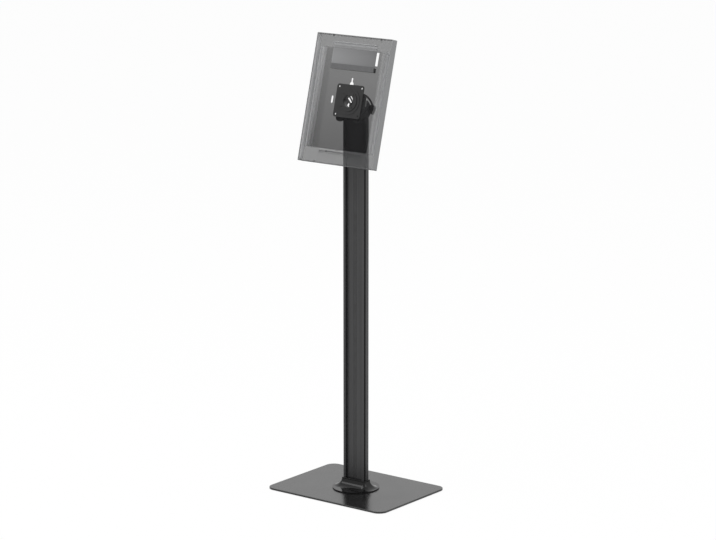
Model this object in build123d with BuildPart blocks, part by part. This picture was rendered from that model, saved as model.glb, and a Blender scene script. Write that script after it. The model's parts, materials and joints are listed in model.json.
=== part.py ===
from build123d import *
import math
import os

# An adjustable tablet floor stand. Millimetres, +Z up, and the front faces -Y.
# The origin lies on the floor, under the centre of the base plate.

os.makedirs("parts", exist_ok=True)

# Clearances and overruns
fit_gap = 0.06
free_gap = 0.3
panel_gap = 0.15
cut_overrun = 1.0

# Base plate and its feet
base_width = 400.0
base_depth = 300.0
base_thickness = 5.0
base_corner_radius = 26.0
base_edge_round = 1.0
foot_pad_radius = 15.0
foot_pad_height = 2.0
foot_pad_inset = 32.0

# Column extrusion
column_width = 71.6
column_depth = 21.6
column_height = 1030.0
column_wall = 1.8
column_corner_round = 1.5
recess_width = 55.6
recess_depth = 7.0
lip_thickness = 1.5
groove_width = 5.6
groove_depth = 5.0
cable_slot_width = 10.0
port_radius = 4.2
port_rib = 2.0
inner_port_pitch = 30.0
outer_port_pitch = 56.0

# Snap-in strip over the column's cable slot
strip_thickness = 1.2
strip_leg_thickness = 1.0
strip_leg_length = 4.0
strip_hook_reach = 0.8
strip_hook_height = 1.2
strip_end_gap = 4.0

# Cable grommet low on the back of the column
grommet_height = 60.0
grommet_bore_radius = 5.0
grommet_neck_radius = 7.0
grommet_lip_radius = 9.0
grommet_lip_thickness = 1.6
grommet_lip_round = 0.4

# Trumpet collar round the foot of the column
collar_rim_radius = 65.0
collar_rim_thickness = 3.0
collar_height = 26.0
collar_margin = 4.4
collar_wall = 2.6
collar_top_round = 1.0
collar_corner_radius = 6.0
collar_rim_step = 2.0
collar_flare_height_shares = [0.0, 0.1, 0.28, 0.55, 1.0]
collar_flare_reach_shares = [1.0, 0.62, 0.33, 0.1, 0.0]

# Screws
column_screw_radius = 2.5
column_screw_head_radius = 4.8
column_screw_head_height = 2.6
column_screw_length = 24.0
bracket_screw_length = 20.0
bracket_screw_head_height = 3.0
small_screw_radius = 1.5
small_screw_head_radius = 2.8
small_screw_head_height = 1.3
small_screw_length = 6.0
hub_screw_radius = 2.0
hub_screw_head_radius = 3.8
hub_screw_head_height = 2.0
socket_share = 0.5

# Fixed bracket on the head of the column
bracket_flange_thickness = 4.0
bracket_flange_inset = 0.5
ear_thickness = 5.0
ear_root_height = 12.0
ear_eye_radius = 9.0
pivot_reach = 32.5
pivot_rise = 3.5

# Tilting yoke with its slotted arms
tilt_at_rest = 15.0
yoke_width = 69.4
yoke_sheet = 3.0
yoke_eye_radius = 8.5
arm_slot_radius = 65.0
arm_slot_width = 6.6
arm_margin = 4.0
arm_slot_start = 28.0
arm_slot_sweep = 44.0
arm_root_angle = 55.0
clamp_angle = 37.0
web_drop = 33.0

# Pivot and clamp hardware
friction_washer = 1.0
friction_washer_radius = 8.0
pivot_shoulder_radius = 4.0
pivot_thread_radius = 3.0
pivot_head_radius = 6.5
pivot_head_height = 3.5
stud_radius = 3.0
outer_washer = 1.5
outer_washer_radius = 9.0
nut_across_flats = 10.0
nut_height = 5.0
stud_tail = 2.0
spacer_radius = 6.0

# Clamp knob
knob_lobe_count = 6
knob_core_radius = 5.2
knob_lobe_radius = 2.1
knob_lobe_pitch_radius = 4.9
knob_skirt_radius = 5.2
knob_skirt_height = 1.5
knob_height = 4.5
knob_edge_round = 0.6
stud_socket_depth = 4.5

# Tablet enclosure
enclosure_side_margin = 16.15
enclosure_end_margin = 21.6
enclosure_depth = 19.8
enclosure_corner_round = 2.0
frame_sheet = 1.5
window_width = 196.8
window_height = 271.0
window_lift = 2.5
window_corner_round = 1.5
window_notch_radius = 5.0
cover_sheet = 1.2
cover_flange_height = 12.6
frame_screw_pitch = 160.0
pivot_depth = 29.6
pivot_drop = 46.6

# Openings in the rear cover
holder_window_width = 151.0
holder_window_low = 101.0
holder_window_high = 137.0
keyhole_slot_width = 5.0
keyhole_top = 63.5
keyhole_bottom = 43.0
keyhole_eye_radius = 6.5
keyhole_eye_height = 46.0
side_slot_offset = 57.0
side_slot_width = 6.0
side_slot_length = 20.0
side_slot_lift = 0.5

# Stepped side rails that carry the tablet, and their foam
tablet_side_cover = 11.9
tablet_end_cover = 17.35
tablet_gap = 1.0
rail_sheet = 1.2
rail_reveal = 1.0
rail_ledge_depth = 9.5
rail_stop_depth = 3.5
rail_pad_thickness = 1.0

# Upper and lower holders behind the tablet
holder_width = 146.0
holder_sheet = 1.2
holder_plate_depth = 10.4
holder_foot = 12.0
holder_lip_depth = 3.5
upper_holder_low = 82.0
lower_holder_high = -134.0
holder_screw_pitch = 100.0
holder_pad_height = 14.0
holder_pad_inset = 0.6

# Mounting plate and turning hub
vesa_pitch = 75.0
vesa_hole_radius = 2.5
vesa_plate_thickness = 2.0
vesa_plate_margin = 7.3
hub_bore_radius = 16.3
hub_sleeve_radius = 19.0
hub_flange_radius = 35.0
hub_flange_thickness = 3.0
hub_washer_thickness = 1.0
hub_washer_radius = 25.0
hub_screw_pitch_radius = 24.0
hub_screw_count = 4
hub_screw_start_angle = 45.0
clamp_ring_radius = 37.0
clamp_ring_thickness = 1.0
clamp_ring_step_radius = 28.5
clamp_ring_step = 1.5
lock_ring_radius = 24.0
lock_ring_thickness = 4.0
lock_ring_notch_width = 4.0
lock_ring_notch_depth = 2.0
lock_ring_notch_count = 4
sleeve_tail = 0.7
stop_pin_radius = 2.0
stop_pin_pitch_radius = 28.2
stop_slot_start = 180.0
stop_slot_sweep = 180.0

# Angles of turned outlines
quarter_turn = 90.0
full_turn = 360.0

# Heights of the standing pieces
plate_bottom = foot_pad_height
plate_top = plate_bottom + base_thickness
column_top = plate_top + column_height

# The tablet reaches behind the frame all round, and the enclosure reaches past the tablet
tablet_width = window_width + 2 * tablet_side_cover
tablet_height = window_height + 2 * tablet_end_cover
enclosure_width = tablet_width + 2 * enclosure_side_margin
enclosure_height = tablet_height + 2 * enclosure_end_margin

# The tilted frame of the enclosure: right, up and outward directions
tilt_sine = math.sin(math.radians(tilt_at_rest))
tilt_cosine = math.cos(math.radians(tilt_at_rest))
outward = Vector(0, -tilt_cosine, tilt_sine)
upward = Vector(0, tilt_sine, tilt_cosine)
pivot = Vector(0, -pivot_reach, column_top + pivot_rise)
face_centre = pivot + outward * pivot_depth + upward * pivot_drop
frame_screw_depth = enclosure_depth - cover_sheet - cover_flange_height / 2


def at_depth(depth):
    """The plane that lies this far behind the enclosure's front face."""
    return Plane(origin=face_centre - outward * depth, x_dir=(1, 0, 0), z_dir=outward)


def across(up):
    """The plane square to the enclosure's upward direction: X is right and Y is depth."""
    return Plane(origin=face_centre + upward * up, x_dir=(1, 0, 0), z_dir=upward)


def side_section(x):
    """The enclosure seen from its side at x: X is depth and Y is up."""
    return Plane(origin=face_centre + Vector(x, 0, 0), x_dir=-outward, z_dir=(1, 0, 0))


def yoke_side(x):
    """The yoke's side plane at x, centred on the pivot: X is depth and Y is up."""
    return Plane(origin=pivot + Vector(x, 0, 0), x_dir=-outward, z_dir=(1, 0, 0))


def upright_side(x):
    """The upright side plane at x through the pivot: X is +Y and Y is +Z."""
    return Plane(origin=pivot + Vector(x, 0, 0), x_dir=(0, 1, 0), z_dir=(1, 0, 0))


def frame_screw_plane(side):
    """The outer face of the enclosure's top wall (1) or bottom wall (-1), at the screws' depth."""
    middle = face_centre + upward * (side * enclosure_height / 2) - outward * frame_screw_depth
    return Plane(origin=middle, x_dir=(1, 0, 0), z_dir=upward * side)


def finish(part, name):
    """Name a finished piece and write it."""
    part.label = name
    export_step(part, "parts/" + name + ".step")


def countersunk_screws(plane, places, radius, head_radius, head_height, length):
    """Screws with their heads flush in the plane and their shanks behind it."""
    with BuildPart(plane) as screws:
        with Locations(*places):
            Cone(radius, head_radius, head_height, align=(Align.CENTER, Align.CENTER, Align.MAX))
            Cylinder(radius, length, align=(Align.CENTER, Align.CENTER, Align.MAX))
        with BuildSketch(plane):
            with Locations(*places):
                RegularPolygon(head_radius * socket_share, 6)
        extrude(amount=-head_height * socket_share, mode=Mode.SUBTRACT)
    return screws.part


def headed_screws(plane, places, radius, head_radius, head_height, length):
    """Screws whose round heads stand on the plane and whose shanks go behind it."""
    with BuildPart(plane) as screws:
        with Locations(*places):
            Cylinder(head_radius, head_height, align=(Align.CENTER, Align.CENTER, Align.MIN))
            Cylinder(radius, length, align=(Align.CENTER, Align.CENTER, Align.MAX))
        with BuildSketch(plane.offset(head_height)):
            with Locations(*places):
                RegularPolygon(head_radius * socket_share, 6)
        extrude(amount=-head_height * socket_share, mode=Mode.SUBTRACT)
    return screws.part


# Base plate, with countersunk holes from below for the column's screws
recess_floor = -column_depth / 2 + recess_depth
cavity_front = recess_floor + column_wall
cavity_back = column_depth / 2 - column_wall
port_row = (cavity_front + cavity_back) / 2
port_thread_radius = column_screw_radius + fit_gap
port_offsets = [-outer_port_pitch / 2, -inner_port_pitch / 2, inner_port_pitch / 2, outer_port_pitch / 2]
port_places = [(x, port_row) for x in port_offsets]
inner_port_places = [(-inner_port_pitch / 2, port_row), (inner_port_pitch / 2, port_row)]
underside_places = [(x, -port_row) for x in port_offsets]
base_underside = Plane(origin=(0, 0, plate_bottom), x_dir=(1, 0, 0), z_dir=(0, 0, -1))

with BuildPart() as base_plate:
    with BuildSketch(Plane.XY.offset(plate_bottom)):
        RectangleRounded(base_width, base_depth, base_corner_radius)
    extrude(amount=base_thickness)
    fillet(base_plate.faces().sort_by(Axis.Z)[-1].edges(), base_edge_round)
    with Locations(*[(x, port_row, plate_bottom) for x in port_offsets]):
        Cylinder(
            column_screw_radius + fit_gap,
            base_thickness,
            align=(Align.CENTER, Align.CENTER, Align.MIN),
            mode=Mode.SUBTRACT,
        )
        Cone(
            column_screw_head_radius + fit_gap,
            column_screw_radius + fit_gap,
            column_screw_head_height,
            align=(Align.CENTER, Align.CENTER, Align.MIN),
            mode=Mode.SUBTRACT,
        )
finish(base_plate.part, "base_plate")

column_screws = countersunk_screws(
    base_underside,
    underside_places,
    column_screw_radius,
    column_screw_head_radius,
    column_screw_head_height,
    column_screw_length,
)
finish(column_screws, "column_screws")

# Four round rubber feet under the base plate
with BuildPart() as rubber_feet:
    with BuildSketch(Plane.XY):
        with GridLocations(base_width - 2 * foot_pad_inset, base_depth - 2 * foot_pad_inset, 2, 2):
            Circle(foot_pad_radius)
    extrude(amount=foot_pad_height)
finish(rubber_feet.part, "rubber_feet")

# Column: an extrusion with a recessed front, lips, side grooves and screw ports
groove_back = -column_depth / 2 + lip_thickness + groove_width
cavity_side = column_width / 2 - column_wall

with BuildPart() as column:
    with BuildSketch(Plane.XY.offset(plate_top)):
        RectangleRounded(column_width, column_depth, column_corner_round)
        with Locations((0, (-column_depth / 2 + recess_floor) / 2)):
            Rectangle(recess_width, recess_depth, mode=Mode.SUBTRACT)
        with Locations((0, (cavity_front + cavity_back) / 2)):
            Rectangle(2 * cavity_side, cavity_back - cavity_front, mode=Mode.SUBTRACT)
        groove_middle = groove_back - groove_width / 2
        with Locations((-column_width / 2, groove_middle), (column_width / 2, groove_middle)):
            Rectangle(2 * groove_depth, groove_width, mode=Mode.SUBTRACT)
        with Locations(*port_places):
            Circle(port_radius)
            Rectangle(port_rib, cavity_back - cavity_front + column_wall)
            Circle(port_thread_radius, mode=Mode.SUBTRACT)
        with Locations((0, recess_floor)):
            Rectangle(cable_slot_width, 2 * column_wall + cut_overrun, mode=Mode.SUBTRACT)
    extrude(amount=column_height)
    with BuildSketch(Plane.XZ.offset(-column_depth / 2 - cut_overrun)):
        with Locations((0, plate_top + grommet_height)):
            Circle(grommet_neck_radius + fit_gap)
    extrude(amount=column_wall + 2 * cut_overrun, mode=Mode.SUBTRACT)
finish(column.part, "column")

# Snap-in strip that closes the column's cable slot, flush with the recess floor
strip_face_width = cable_slot_width - 2 * panel_gap
strip_leg_offset = strip_face_width / 2 - strip_leg_thickness / 2
strip_hook_front = cavity_front + panel_gap

with BuildPart() as cover_strip:
    with BuildSketch(Plane.XY.offset(plate_top + strip_end_gap)):
        with Locations((0, recess_floor + strip_thickness / 2)):
            Rectangle(strip_face_width, strip_thickness)
        with Locations((-strip_leg_offset, recess_floor), (strip_leg_offset, recess_floor)):
            Rectangle(strip_leg_thickness, strip_leg_length, align=(Align.CENTER, Align.MIN))
        hook_width = strip_leg_thickness + strip_hook_reach + panel_gap
        with Locations((strip_leg_offset - strip_leg_thickness / 2, strip_hook_front)):
            Rectangle(hook_width, strip_hook_height, align=(Align.MIN, Align.MIN))
        with Locations((strip_leg_thickness / 2 - strip_leg_offset, strip_hook_front)):
            Rectangle(hook_width, strip_hook_height, align=(Align.MAX, Align.MIN))
    extrude(amount=column_height - 2 * strip_end_gap)
finish(cover_strip.part, "cover_strip")

# Rubber grommet where the cable leaves the back of the column
grommet_plane = Plane(
    origin=(0, column_depth / 2, plate_top + grommet_height), x_dir=(-1, 0, 0), z_dir=(0, 1, 0)
)
with BuildPart(grommet_plane) as cable_grommet:
    Cylinder(
        grommet_lip_radius,
        grommet_lip_thickness,
        align=(Align.CENTER, Align.CENTER, Align.MIN),
    )
    with Locations((0, 0, -column_wall)):
        Cylinder(
            grommet_neck_radius,
            column_wall,
            align=(Align.CENTER, Align.CENTER, Align.MIN),
        )
    with Locations((0, 0, -column_wall)):
        Cylinder(
            grommet_lip_radius,
            grommet_lip_thickness,
            align=(Align.CENTER, Align.CENTER, Align.MAX),
        )
    Cylinder(grommet_bore_radius, column_depth, mode=Mode.SUBTRACT)
    fillet(cable_grommet.faces().sort_by(Axis.Y)[-1].edges(), grommet_lip_round)
finish(cable_grommet.part, "cable_grommet")

# Collar: a thin trumpet-shaped cover that hides the joint of column and base
collar_top_width = column_width + 2 * collar_margin
collar_top_depth = column_depth + 2 * collar_margin
flare_low = plate_top + collar_rim_thickness
flare_high = plate_top + collar_height
flare_rim_radius = collar_rim_radius - collar_rim_step


def flare_size(reach_share, inset):
    """Width, depth and corner radius of the flare where it reaches out by this share."""
    reach = (flare_rim_radius - collar_top_width / 2) * reach_share - inset
    width = collar_top_width + 2 * reach
    depth = collar_top_depth + 2 * reach
    return width, depth, collar_corner_radius + reach


with BuildPart() as foot_collar:
    for height_share, reach_share in zip(collar_flare_height_shares, collar_flare_reach_shares):
        with BuildSketch(Plane.XY.offset(flare_low + (flare_high - flare_low) * height_share)):
            RectangleRounded(*flare_size(reach_share, 0))
    loft()
    fillet(foot_collar.faces().sort_by(Axis.Z)[-1].edges(), collar_top_round)
    with BuildSketch(Plane.XY.offset(plate_top)):
        Circle(collar_rim_radius)
    extrude(amount=collar_rim_thickness)
    for height_share, reach_share in zip(collar_flare_height_shares, collar_flare_reach_shares):
        hollow_height = plate_top + (flare_high - flare_low) * height_share
        with BuildSketch(Plane.XY.offset(hollow_height)):
            RectangleRounded(*flare_size(reach_share, collar_wall))
    loft(mode=Mode.SUBTRACT)
    with BuildSketch(Plane.XY.offset(plate_top)):
        RectangleRounded(
            column_width + 2 * free_gap, column_depth + 2 * free_gap, column_corner_round
        )
    extrude(amount=collar_height + cut_overrun, mode=Mode.SUBTRACT)
finish(foot_collar.part, "foot_collar")

# Places that the head's pieces share
yoke_outer = yoke_width / 2
cheek_inner = yoke_outer - yoke_sheet
ear_outer = cheek_inner - friction_washer
ear_inner = ear_outer - ear_thickness
bracket_top = column_top + bracket_flange_thickness
clamp_rise = math.radians(clamp_angle - tilt_at_rest)
clamp_reach = arm_slot_radius * math.cos(clamp_rise)
clamp_lift = arm_slot_radius * math.sin(clamp_rise)
stud_hole_radius = stud_radius + fit_gap
ear_root_middle = pivot_reach
ear_root_low = -pivot_rise

# Fixed bracket: a flange on the column's top and two ears, each with an arm to either side
with BuildPart() as head_bracket:
    with BuildSketch(Plane.XY.offset(column_top)):
        RectangleRounded(
            column_width - 2 * bracket_flange_inset, column_depth, column_corner_round
        )
        with Locations(*inner_port_places):
            Circle(column_screw_radius + fit_gap, mode=Mode.SUBTRACT)
    extrude(amount=bracket_flange_thickness)
    for side in (ear_inner, -ear_outer):
        ear_plane = upright_side(side)
        for eye in ((0, 0), (clamp_reach, clamp_lift)):
            with BuildSketch(ear_plane):
                with Locations(eye):
                    Circle(ear_eye_radius)
                with Locations((ear_root_middle, ear_root_low)):
                    Rectangle(column_depth, ear_root_height, align=(Align.CENTER, Align.MIN))
                make_hull()
            extrude(amount=ear_thickness)
        with BuildSketch(ear_plane):
            with Locations((ear_root_middle, ear_root_low)):
                Rectangle(
                    column_depth + 2 * free_gap,
                    ear_eye_radius * 2,
                    align=(Align.CENTER, Align.MAX),
                )
        extrude(amount=ear_thickness, mode=Mode.SUBTRACT)
        with BuildSketch(ear_plane):
            Circle(pivot_thread_radius + fit_gap)
            with Locations((clamp_reach, clamp_lift)):
                Circle(stud_hole_radius)
        extrude(amount=ear_thickness, mode=Mode.SUBTRACT)
finish(head_bracket.part, "head_bracket")

bracket_screws = headed_screws(
    Plane.XY.offset(bracket_top),
    inner_port_places,
    column_screw_radius,
    column_screw_head_radius,
    bracket_screw_head_height,
    bracket_screw_length,
)
finish(bracket_screws, "bracket_screws")

# Shoulder screws on which the yoke tilts
pivot_shoulder_length = yoke_sheet + friction_washer
with BuildPart() as pivot_screws:
    for side in (1, -1):
        head_plane = Plane(
            origin=pivot + Vector(side * yoke_outer, 0, 0), x_dir=(0, 1, 0), z_dir=(side, 0, 0)
        )
        with BuildSketch(head_plane):
            Circle(pivot_head_radius)
        extrude(amount=pivot_head_height)
        with BuildSketch(head_plane):
            Circle(pivot_shoulder_radius)
        extrude(amount=-pivot_shoulder_length)
        with BuildSketch(head_plane.offset(-pivot_shoulder_length)):
            Circle(pivot_thread_radius)
        extrude(amount=-ear_thickness)
        with BuildSketch(head_plane.offset(pivot_head_height)):
            RegularPolygon(pivot_head_radius * socket_share, 6)
        extrude(amount=-pivot_head_height * socket_share, mode=Mode.SUBTRACT)
finish(pivot_screws.part, "pivot_screws")

# Thin friction washers between the ears and the cheeks, and steel ones outside the cheeks
with BuildPart() as friction_washers:
    for x in (ear_outer, -cheek_inner):
        with BuildSketch(upright_side(x)):
            Circle(friction_washer_radius)
            Circle(pivot_shoulder_radius + fit_gap, mode=Mode.SUBTRACT)
            with Locations((clamp_reach, clamp_lift)):
                Circle(friction_washer_radius)
                Circle(stud_hole_radius, mode=Mode.SUBTRACT)
        extrude(amount=friction_washer)
finish(friction_washers.part, "friction_washers")

with BuildPart() as clamp_washers:
    for x in (yoke_outer, -yoke_outer - outer_washer):
        with BuildSketch(upright_side(x)):
            with Locations((clamp_reach, clamp_lift)):
                Circle(outer_washer_radius)
                Circle(stud_hole_radius, mode=Mode.SUBTRACT)
        extrude(amount=outer_washer)
finish(clamp_washers.part, "clamp_washers")

# Tube that keeps the ears apart when the clamp is tight
with BuildPart() as clamp_spacer:
    with BuildSketch(upright_side(-ear_inner)):
        with Locations((clamp_reach, clamp_lift)):
            Circle(spacer_radius)
            Circle(stud_hole_radius, mode=Mode.SUBTRACT)
    extrude(amount=2 * ear_inner)
finish(clamp_spacer.part, "clamp_spacer")

nut_outer = yoke_outer + outer_washer + nut_height
with BuildPart() as clamp_nut:
    with BuildSketch(upright_side(-nut_outer)):
        with Locations((clamp_reach, clamp_lift)):
            RegularPolygon(nut_across_flats / 2, 6, major_radius=False)
            Circle(stud_hole_radius, mode=Mode.SUBTRACT)
    extrude(amount=nut_height)
finish(clamp_nut.part, "clamp_nut")

# Clamp knob and its stud, which turn together
knob_inner = yoke_outer + outer_washer + free_gap
knob_lobe_plane = upright_side(knob_inner + knob_skirt_height)
with BuildPart() as clamp_knob:
    with BuildSketch(knob_lobe_plane):
        with Locations((clamp_reach, clamp_lift)):
            Circle(knob_core_radius)
            with PolarLocations(knob_lobe_pitch_radius, knob_lobe_count):
                Circle(knob_lobe_radius)
    extrude(amount=knob_height)
    fillet(clamp_knob.faces().sort_by(Axis.X)[-1].edges(), knob_edge_round)
    with BuildSketch(upright_side(knob_inner)):
        with Locations((clamp_reach, clamp_lift)):
            Circle(knob_skirt_radius)
    extrude(amount=knob_skirt_height)
    with BuildSketch(upright_side(knob_inner)):
        with Locations((clamp_reach, clamp_lift)):
            Circle(stud_hole_radius)
    extrude(amount=stud_socket_depth, mode=Mode.SUBTRACT)
finish(clamp_knob.part, "clamp_knob")

stud_left = -nut_outer - stud_tail
with BuildPart() as clamp_stud:
    with BuildSketch(upright_side(stud_left)):
        with Locations((clamp_reach, clamp_lift)):
            Circle(stud_radius)
    extrude(amount=knob_inner + stud_socket_depth - stud_left)
finish(clamp_stud.part, "clamp_stud")

# Depths of the pieces stacked behind the enclosure's face
cover_front = enclosure_depth - cover_sheet
vesa_front = cover_front - vesa_plate_thickness
hub_flange_back = enclosure_depth + hub_flange_thickness
web_front = hub_flange_back + hub_washer_thickness
web_back = web_front + yoke_sheet
lock_ring_front = web_back + hub_washer_thickness
sleeve_back = lock_ring_front + lock_ring_thickness + sleeve_tail
hub_bearing_radius = hub_sleeve_radius + fit_gap

# Tilting yoke: a web behind the hub and two cheeks that end in slotted arms
web_face_x = web_front - pivot_depth
arm_half = arm_slot_width / 2 + arm_margin
arm_outer_radius = arm_slot_radius + arm_half
web_height = arm_outer_radius - (pivot_drop - web_drop)
arm_line = CenterArc((0, 0), arm_slot_radius, arm_slot_start, arm_slot_sweep)
root_end_angle = quarter_turn + math.degrees(math.asin(-web_face_x / arm_outer_radius))
stop_line = CenterArc((0, 0), stop_pin_pitch_radius, stop_slot_start, stop_slot_sweep)

with BuildPart() as tilt_yoke:
    for x in (cheek_inner, -yoke_outer):
        with BuildSketch(yoke_side(x)):
            Circle(yoke_eye_radius)
            with Locations((web_face_x, 0)):
                Rectangle(
                    yoke_eye_radius - web_face_x,
                    pivot_drop,
                    align=(Align.MIN, Align.MIN),
                )
            SlotArc(arm_line, 2 * arm_half)
            with BuildLine():
                root = CenterArc(
                    (0, 0), arm_outer_radius, arm_root_angle, root_end_angle - arm_root_angle
                )
                Line(root @ 1, (web_face_x, 0))
                Line((web_face_x, 0), (0, 0))
                Line((0, 0), root @ 0)
            make_face()
            SlotArc(arm_line, arm_slot_width, mode=Mode.SUBTRACT)
            Circle(pivot_shoulder_radius + fit_gap, mode=Mode.SUBTRACT)
        extrude(amount=yoke_sheet)
    with BuildSketch(at_depth(web_back)):
        with Locations((0, -web_drop)):
            Rectangle(2 * yoke_outer, web_height, align=(Align.CENTER, Align.MIN))
        Circle(hub_bearing_radius, mode=Mode.SUBTRACT)
        SlotArc(stop_line, 2 * (stop_pin_radius + fit_gap), mode=Mode.SUBTRACT)
    extrude(amount=yoke_sheet)
finish(tilt_yoke.part, "tilt_yoke")

# Friction washers on both sides of the yoke's web
with BuildPart() as hub_washers:
    for depth in (web_front, lock_ring_front):
        with BuildSketch(at_depth(depth)):
            Circle(hub_washer_radius)
            Circle(hub_bearing_radius, mode=Mode.SUBTRACT)
        extrude(amount=hub_washer_thickness)
finish(hub_washers.part, "hub_washers")

# Hub rotor: the flange behind the rear cover and the hollow sleeve through the yoke's web
with BuildPart() as hub_rotor:
    with BuildSketch(at_depth(hub_flange_back)):
        Circle(hub_flange_radius)
    extrude(amount=hub_flange_thickness)
    with BuildSketch(at_depth(sleeve_back)):
        Circle(hub_sleeve_radius)
    extrude(amount=sleeve_back - hub_flange_back)
    with BuildSketch(at_depth(web_back)):
        with Locations((0, -stop_pin_pitch_radius)):
            Circle(stop_pin_radius)
    extrude(amount=web_back - hub_flange_back)
    with BuildSketch(at_depth(sleeve_back)):
        Circle(hub_bore_radius)
    extrude(amount=sleeve_back - enclosure_depth, mode=Mode.SUBTRACT)
    with BuildSketch(at_depth(enclosure_depth)):
        with PolarLocations(hub_screw_pitch_radius, hub_screw_count, hub_screw_start_angle):
            Circle(hub_screw_radius + fit_gap)
    extrude(amount=-hub_flange_thickness, mode=Mode.SUBTRACT)
finish(hub_rotor.part, "hub_rotor")

# Lock ring with spanner notches on the end of the sleeve
with BuildPart() as hub_lock_ring:
    with BuildSketch(at_depth(lock_ring_front + lock_ring_thickness)):
        Circle(lock_ring_radius)
        Circle(hub_bearing_radius, mode=Mode.SUBTRACT)
        with PolarLocations(lock_ring_radius, lock_ring_notch_count):
            Rectangle(2 * lock_ring_notch_depth, lock_ring_notch_width, mode=Mode.SUBTRACT)
    extrude(amount=lock_ring_thickness)
finish(hub_lock_ring.part, "hub_lock_ring")

# Mounting plate with rounded corners round its four holes
vesa_plate_width = vesa_pitch + 2 * vesa_plate_margin
with BuildPart() as vesa_plate:
    with BuildSketch(at_depth(cover_front)):
        RectangleRounded(vesa_plate_width, vesa_plate_width, vesa_plate_margin)
        with GridLocations(vesa_pitch, vesa_pitch, 2, 2):
            Circle(vesa_hole_radius, mode=Mode.SUBTRACT)
        Circle(hub_bore_radius, mode=Mode.SUBTRACT)
        with PolarLocations(hub_screw_pitch_radius, hub_screw_count, hub_screw_start_angle):
            Circle(hub_screw_radius + fit_gap, mode=Mode.SUBTRACT)
    extrude(amount=vesa_plate_thickness)
finish(vesa_plate.part, "vesa_plate")

# Clamp ring on the front of the mounting plate, with a raised inner step
ring_front = vesa_front - clamp_ring_thickness - clamp_ring_step
with BuildPart(at_depth(ring_front)) as hub_clamp_ring:
    with BuildSketch(at_depth(vesa_front)):
        Circle(clamp_ring_radius)
    extrude(amount=clamp_ring_thickness)
    with BuildSketch(at_depth(vesa_front)):
        Circle(clamp_ring_step_radius)
    extrude(amount=clamp_ring_thickness + clamp_ring_step)
    with BuildSketch(at_depth(vesa_front)):
        Circle(hub_bore_radius)
    extrude(amount=clamp_ring_thickness + clamp_ring_step, mode=Mode.SUBTRACT)
    with PolarLocations(hub_screw_pitch_radius, hub_screw_count, hub_screw_start_angle):
        Cylinder(
            hub_screw_radius + fit_gap,
            2 * (clamp_ring_thickness + clamp_ring_step),
            mode=Mode.SUBTRACT,
        )
        Cone(
            hub_screw_radius + fit_gap,
            hub_screw_head_radius + fit_gap,
            hub_screw_head_height,
            align=(Align.CENTER, Align.CENTER, Align.MAX),
            mode=Mode.SUBTRACT,
        )
finish(hub_clamp_ring.part, "hub_clamp_ring")

hub_screw_places = []
for index in range(hub_screw_count):
    turn = math.radians(hub_screw_start_angle + full_turn * index / hub_screw_count)
    place = (hub_screw_pitch_radius * math.cos(turn), hub_screw_pitch_radius * math.sin(turn))
    hub_screw_places.append(place)
hub_screws = countersunk_screws(
    at_depth(ring_front),
    hub_screw_places,
    hub_screw_radius,
    hub_screw_head_radius,
    hub_screw_head_height,
    hub_flange_back - ring_front - fit_gap,
)
finish(hub_screws, "hub_screws")

# Rear cover: a flat panel with a flange all round, and the openings in the panel
flange_outer_width = enclosure_width - 2 * frame_sheet - 2 * free_gap
flange_outer_height = enclosure_height - 2 * frame_sheet - 2 * free_gap
side_slot_places = [(-side_slot_offset, side_slot_lift), (side_slot_offset, side_slot_lift)]
upper_foot_middle = upper_holder_low + holder_foot / 2
lower_foot_middle = lower_holder_high - holder_foot / 2
holder_screw_places = []
for up in (upper_foot_middle, lower_foot_middle):
    holder_screw_places.append((-holder_screw_pitch / 2, up))
    holder_screw_places.append((holder_screw_pitch / 2, up))

with BuildPart() as rear_cover:
    with BuildSketch(at_depth(enclosure_depth)):
        RectangleRounded(enclosure_width, enclosure_height, enclosure_corner_round)
        with Locations((0, (holder_window_low + holder_window_high) / 2)):
            Rectangle(holder_window_width, holder_window_high - holder_window_low, mode=Mode.SUBTRACT)
        with Locations((0, (keyhole_top + keyhole_bottom) / 2)):
            SlotOverall(
                keyhole_top - keyhole_bottom,
                keyhole_slot_width,
                rotation=quarter_turn,
                mode=Mode.SUBTRACT,
            )
        with Locations((0, keyhole_eye_height)):
            Circle(keyhole_eye_radius, mode=Mode.SUBTRACT)
        with Locations(*side_slot_places):
            SlotOverall(
                side_slot_length, side_slot_width, rotation=quarter_turn, mode=Mode.SUBTRACT
            )
        with GridLocations(vesa_pitch, vesa_pitch, 2, 2):
            Circle(vesa_hole_radius, mode=Mode.SUBTRACT)
        Circle(hub_bore_radius, mode=Mode.SUBTRACT)
        with PolarLocations(hub_screw_pitch_radius, hub_screw_count, hub_screw_start_angle):
            Circle(hub_screw_radius + fit_gap, mode=Mode.SUBTRACT)
        with Locations(*holder_screw_places):
            Circle(small_screw_radius + fit_gap, mode=Mode.SUBTRACT)
    extrude(amount=cover_sheet)
    with BuildSketch(at_depth(cover_front)):
        Rectangle(flange_outer_width, flange_outer_height)
        Rectangle(
            flange_outer_width - 2 * cover_sheet,
            flange_outer_height - 2 * cover_sheet,
            mode=Mode.SUBTRACT,
        )
    extrude(amount=cover_flange_height)
    with BuildSketch(across(enclosure_height / 2)):
        with Locations(
            (-frame_screw_pitch / 2, frame_screw_depth), (frame_screw_pitch / 2, frame_screw_depth)
        ):
            Circle(small_screw_radius + fit_gap)
    extrude(amount=-enclosure_height, mode=Mode.SUBTRACT)
finish(rear_cover.part, "rear_cover")

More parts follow.
